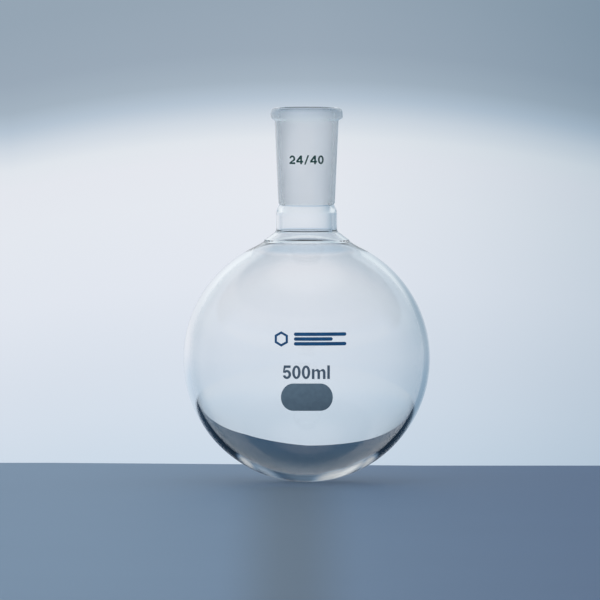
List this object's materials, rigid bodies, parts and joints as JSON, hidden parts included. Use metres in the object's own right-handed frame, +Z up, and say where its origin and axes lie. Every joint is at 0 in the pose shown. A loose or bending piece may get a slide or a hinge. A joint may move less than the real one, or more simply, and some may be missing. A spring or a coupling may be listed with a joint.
{
  "type": "round bottom flask",
  "caption": "Round bottom laboratory flask in clear glass, with a short neck, a tapered ground-glass socket and a writing spot.",
  "frame": {"origin": "lowest point of the bulb, on the flask's axis", "axes": "+Z up the axis to the mouth, -Y towards the printed marks, +X to the right when the marks are read"},
  "size_m": [0.105, 0.1053, 0.1593],
  "materials": {
    "clear_glass": "clear fire-polished borosilicate",
    "ground_glass": "clear outside, fine-ground bore",
    "grey_enamel": "matt fired enamel",
    "green_enamel": "fired enamel",
    "blue_enamel": "fired enamel"
  },
  "bodies": {
    "root": {"bulb": "clear_glass", "neck_tube": "clear_glass", "ground_joint_socket": "ground_glass", "marking_spot": "grey_enamel", "capacity_mark_5": "grey_enamel", "capacity_mark_0_a": "grey_enamel", "capacity_mark_0_b": "grey_enamel", "capacity_mark_m": "grey_enamel", "capacity_mark_l": "grey_enamel", "maker_mark_hexagon": "blue_enamel", "maker_mark_bar_a": "blue_enamel", "maker_mark_bar_b": "blue_enamel", "maker_mark_bar_c": "blue_enamel", "joint_mark_2": "green_enamel", "joint_mark_4_a": "green_enamel", "joint_mark_slash": "green_enamel", "joint_mark_4_b": "green_enamel", "joint_mark_0": "green_enamel"}
  },
  "joints": []
}
